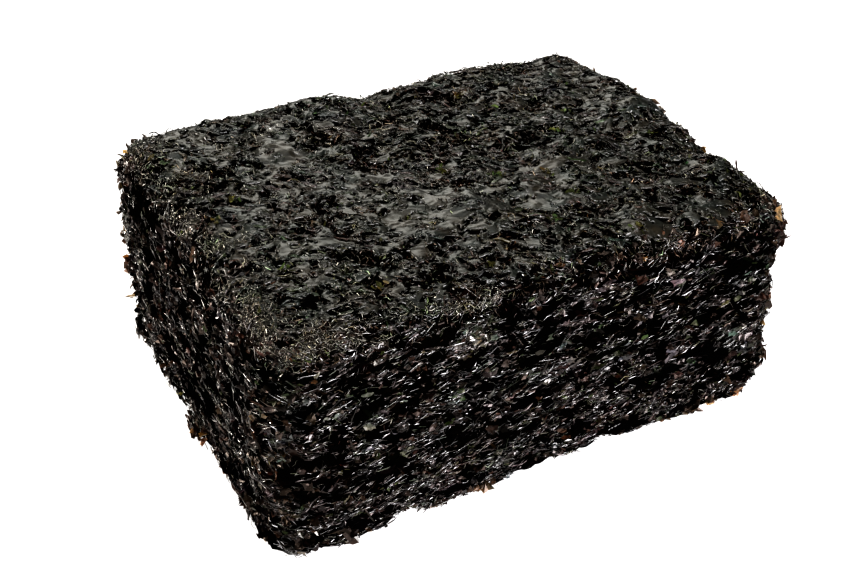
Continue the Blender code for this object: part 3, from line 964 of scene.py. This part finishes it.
def rough_rims(draw, count):
    """Points of the top, most of them near its left rim and near its front left corner."""
    points = top_seats(draw, RIM_TRIES * count, RIM_MARGIN)
    from_left, from_front = (points[:, :2] + HALF).T
    nearest = np.minimum(from_left, from_front + ROUGH_WIDENS * from_left)
    inside = (nearest - ROUGH_PLACE) / ROUGH_WIDTH
    rough = np.exp(-inside * inside - np.maximum(from_front, 0.0) / ROUGH_LENGTH)
    level, strength = ROUGH_CLUMPS
    chance = (ROUGH_CHANCES[0] + ROUGH_CHANCES[1] * rough) * (
        level + strength * lattice_noise(points, ROUGH_CLUMP_SIZE, 98))
    return points[draw.uniform(0.0, 1.0, len(points)) < chance][:count]


def top_points(draw, where, count):
    """Points of the top: on its rough rims, in the green tufts, or by the skin's openness."""
    if where == "rims":
        return rough_rims(draw, count)
    if where == "tufts":
        return on_top(round_places(draw, TUFT_PLACES, count, TUFT_SCATTER))
    points = top_seats(draw, TOP_TRIES * count, TOP_MARGIN)
    value = openness(points)
    return points[(value > where[0]) & (value < where[1])][:count]


# ---- laying thin bits

def lay_bits(shapes, seats, normals, slope, stand, tilt, offset):
    """Put bits on the surface.

    slope turns a bit from level within the surface, stand lifts its end out of
    the surface, and tilt turns it about its length from facing out to facing up.
    """
    level = unit(np.cross((0.0, 0.0, 1.0), normals + (1e-4, 1e-4, 0.0)))
    rise = np.cross(normals, level)
    along = level * np.cos(slope)[:, None] + rise * np.sin(slope)[:, None]
    along = unit(along * np.cos(stand)[:, None] + normals * np.sin(stand)[:, None])
    across = unit(rise - along * (rise * along).sum(1)[:, None])
    up = np.cross(along, across)
    up *= np.where((up * normals).sum(1) < 0, -1.0, 1.0)[:, None]
    turned = up * np.cos(tilt)[:, None] + across * np.sin(tilt)[:, None]
    across = np.cross(turned, along)
    middle = seats + normals * offset[:, None]
    laid = (
        shapes[..., 0:1] * along[:, None] + shapes[..., 1:2] * across[:, None]
        + shapes[..., 2:3] * turned[:, None] + middle[:, None])
    laid[..., 2] = np.maximum(laid[..., 2], LOWEST_BIT)
    return laid


def side_tilts(draw, tilts, normals):
    """How far bits of the sides turn up: flatter on the shoulders, steeper on the ends."""
    flatter = 1.0 - TOP_FLATTENS * np.maximum(normals[:, 2], 0.0)
    return draw.normal(*tilts, len(normals)) * flatter + END_TILT * np.abs(normals[:, 0])


def side_strips(look, draw, count, lengths, widths, stations, form, reach, tilts, clumping, shares):
    """Strips of laver on the sides and shoulders, most of them along the layers.

    shares are how many of them are kept on the long sides and on the ends.
    """
    points = wall_seats(draw, STRIP_TRIES * count, LOWEST_STRIP, PILE_HEIGHT + SHOULDER_BAND)
    share = np.where(on_ends(points), shares[1], shares[0])
    points = points[draw.uniform(0.0, 1.0, len(points)) < share]
    points = clustered(draw, points, count, clumping)
    count = len(points)
    seats, normals = pile_surface(points, fine=True)
    shapes = strip_shapes(draw, count, lengths, widths, stations, *form)
    lean = FRONT_LEAN * np.abs(normals[:, 1]) + LEAN * lattice_noise(seats, LEAN_SIZE, 96)
    vertices = lay_bits(
        shapes, seats, normals,
        slope=lean + draw.normal(0.0, 0.26, count) + draw.choice(
            CROSSING, count, p=CROSSING_SHARES),
        stand=draw.normal(0.0, 0.09, count),
        tilt=side_tilts(draw, tilts, normals),
        offset=MM * draw.uniform(-0.4, reach, count))
    joined_piece(look, draw, vertices, strip_faces(stations), seats)


def side_leaves(look, draw, count, lengths, widths, stand, anchor, reach, clumping, tilts, where):
    """Torn leaf bits on the sides, the ends, the rims, or round the places that where lists.

    With an anchor one end is held and the other stands out. The walls' points are
    drawn in every case.
    """
    points = wall_seats(draw, LEAF_TRIES * count, LOWEST_LEAF, PILE_HEIGHT + SHOULDER_BAND)
    if where == "ends":
        points = points[on_ends(points)]
    elif where == "rims":
        points = points[on_rims(points)]
    elif where != "sides":
        points = round_places(draw, where, count, PLACE_SCATTER)
        points[:, 2] = np.clip(points[:, 2], LOWEST_LEAF, PILE_HEIGHT)
    points = clustered(draw, points, count, clumping)
    count = len(points)
    seats, normals = pile_surface(points, fine=True)
    length = log_range(draw, lengths, count)
    shapes = leaf_shapes(draw, length, length * draw.uniform(*widths, count), *LEAF_CELLS, anchor)
    vertices = lay_bits(
        shapes, seats, normals,
        slope=draw.normal(0.0, 0.35, count),
        stand=draw.normal(*stand, count),
        tilt=side_tilts(draw, tilts, normals),
        offset=MM * draw.uniform(*reach, count))
    joined_piece(look, draw, vertices, film_faces(*LEAF_CELLS), seats)


def curled_strands(look, draw, count, lengths, widths, form, stations):
    """Fine curled strands, on the sides, the shoulders and the rougher parts of the top."""
    on_walls = wall_seats(draw, count // WALL_STRANDS, LOWEST_STRAND, PILE_HEIGHT)
    points = np.concatenate((on_walls, rough_rims(draw, count - len(on_walls))))
    count = len(points)
    seats, normals = pile_surface(points)
    vertices = lay_bits(
        strip_shapes(draw, count, lengths, widths, stations, *form), seats, normals,
        slope=draw.normal(0.0, 0.6, count),
        stand=draw.normal(0.0, 0.04, count),
        tilt=draw.uniform(-0.5, 0.8, count),
        offset=draw.uniform(-0.0002, 0.0009, count))
    joined_piece(look, draw, vertices, strip_faces(stations), seats, smooth=True)


def torn_films(look, draw, count, lengths, shares, cells, lifts):
    """Torn films that lie on the skin and bend down over the shoulders."""
    long, wide = cells
    half = HALF + FILM_MARGIN
    middle = draw.uniform(-half, half, (FILM_TRIES * count, 2))
    value = openness(fold_over(on_top(middle)))
    middle = middle[np.abs(value - FILM_OPENNESS[0]) < FILM_OPENNESS[1]][:count]
    count = len(middle)
    length = log_range(draw, lengths, count)
    width = length * draw.uniform(*shares, count)
    flat = film_outlines(draw, length, width, long, wide, FILM_TORN)
    heading = draw.normal(SKIN_HEADING - 0.1, 0.5, count)
    cosine, sine = np.cos(heading)[:, None, None], np.sin(heading)[:, None, None]
    x = flat[..., 0] * cosine - flat[..., 1] * sine + middle[:, 0, None, None]
    y = flat[..., 0] * sine + flat[..., 1] * cosine + middle[:, 1, None, None]
    points = fold_over(np.stack((x, y, np.full_like(x, PILE_HEIGHT)), axis=-1).reshape(-1, 3))
    ground, normals = pile_surface(points)
    seats = ground.reshape(count, -1, 3)[:, 0]
    rim = np.ones((long + 1, wide + 1))
    rim[1:-1, 1:-1] = 0.0
    lift = MM * draw.uniform(*lifts, count)[:, None, None]
    lift = lift + rim * draw.normal(-0.0002, 0.0003, x.shape)
    lift = lift + flat[..., 1] * draw.normal(0.0, 0.12, count)[:, None, None]
    lift = lift - flat[..., 1] ** 2 * draw.uniform(0.0, 500.0, count)[:, None, None]
    out = lift.reshape(-1) + skin_height(points, np.minimum(openness(points), 0.1))
    upper = (ground + normals * out[:, None]).reshape(count, long + 1, wide + 1, 3)
    vertices = closed_film(upper, -normals.reshape(upper.shape)[:, 1:-1, 1:-1])
    joined_piece(look, draw, vertices, film_faces(long, wide), seats, smooth=True)


def top_strips(look, draw, where, count, lengths, widths, stations, lean, depth, form):
    """Small torn bits in and over the top's skin."""
    points = top_points(draw, where, count)
    count = len(points)
    seats, normals = pile_surface(points)
    vertices = lay_bits(
        strip_shapes(draw, count, lengths, widths, stations, *form), seats, normals,
        slope=draw.normal(SKIN_HEADING - 0.25 * math.pi, 0.8, count),
        stand=draw.normal(0.0, 0.5 * lean, count),
        tilt=draw.normal(0.0, lean, count),
        offset=MM * draw.uniform(*depth, count))
    joined_piece(look, draw, vertices, strip_faces(stations), seats)


# ---- stage

def place_camera():
    """The photograph's view, fitted to the block's outline."""
    camera = add_object("camera", bpy.data.cameras.new("camera"))
    camera.data.lens = CAMERA_LENS
    camera.data.sensor_width = 36.0
    camera.data.clip_start = 0.01
    camera.matrix_world = (
        Matrix.Translation(CAMERA_PLACE) @ Matrix.Rotation(CAMERA_AZIMUTH, 4, "Z")
        @ Matrix.Rotation(math.pi / 2 - CAMERA_ELEVATION, 4, "X")
        @ Matrix.Rotation(CAMERA_ROLL, 4, "Z"))
    bpy.context.scene.camera = camera


def soft_light(name, place, size, radiance, colour):
    """A lamp that faces the block; its power follows from its area and its radiance."""
    light = bpy.data.lights.new(name, "AREA")
    light.shape = "RECTANGLE"
    light.size, light.size_y = size
    light.energy = math.pi * radiance * size[0] * size[1]
    light.color = colour
    lamp = add_object(name, light)
    lamp.location = place
    lamp.rotation_euler = (LAMPS_AIM - Vector(place)).to_track_quat("-Z", "Y").to_euler()


def build_stage():
    deselect_all()
    bpy.ops.mesh.primitive_plane_add(size=FLOOR_SIZE, location=(0.0, 0.0, -FLOOR_DROP))
    floor = bpy.context.object
    floor.name = "floor"
    material, _, shader = new_material("pale_floor")
    set_inputs(
        shader, Base_Color=(FLOOR_GREY, FLOOR_GREY, FLOOR_GREY, 1.0), Roughness=1.0,
        Emission_Color=(*WHITE, 1.0), Emission_Strength=FLOOR_GLOW, Specular_IOR_Level=0.0)
    floor.data.materials.append(material)
    world = bpy.data.worlds.new("studio")
    world.use_nodes = True
    set_inputs(
        world.node_tree.nodes["Background"], Color=(*WHITE, 1.0), Strength=WORLD_LIGHT)
    bpy.context.scene.world = world
    for row in LIGHTS:
        soft_light(*row)
    view = bpy.context.scene.view_settings
    view.view_transform = "Standard"
    view.look = "Very High Contrast"


# ---- making

place_camera()
build_stage()

grain = grain_group()
finishes = {name: laver_finish(name + "_laver", grain, *look) for name, look in FINISHES.items()}

build_pile(finishes["pile"])
for name, *sides in SKIN_SHEETS:
    build_skin(name, sides, finishes["skin"])
for make, rows in (
    (side_strips, SIDE_STRIPS), (side_leaves, SIDE_LEAVES), (curled_strands, STRANDS),
    (torn_films, TOP_FILMS),
):
    for name, finish, palette, seed, *row in rows:
        make((name, finishes[finish], palette), np.random.default_rng(seed), *row)
draw = np.random.default_rng(TOP_SEED)
for name, finish, palette, *row in TOP_STRIPS:
    top_strips((name, finishes[finish], palette), draw, *row)
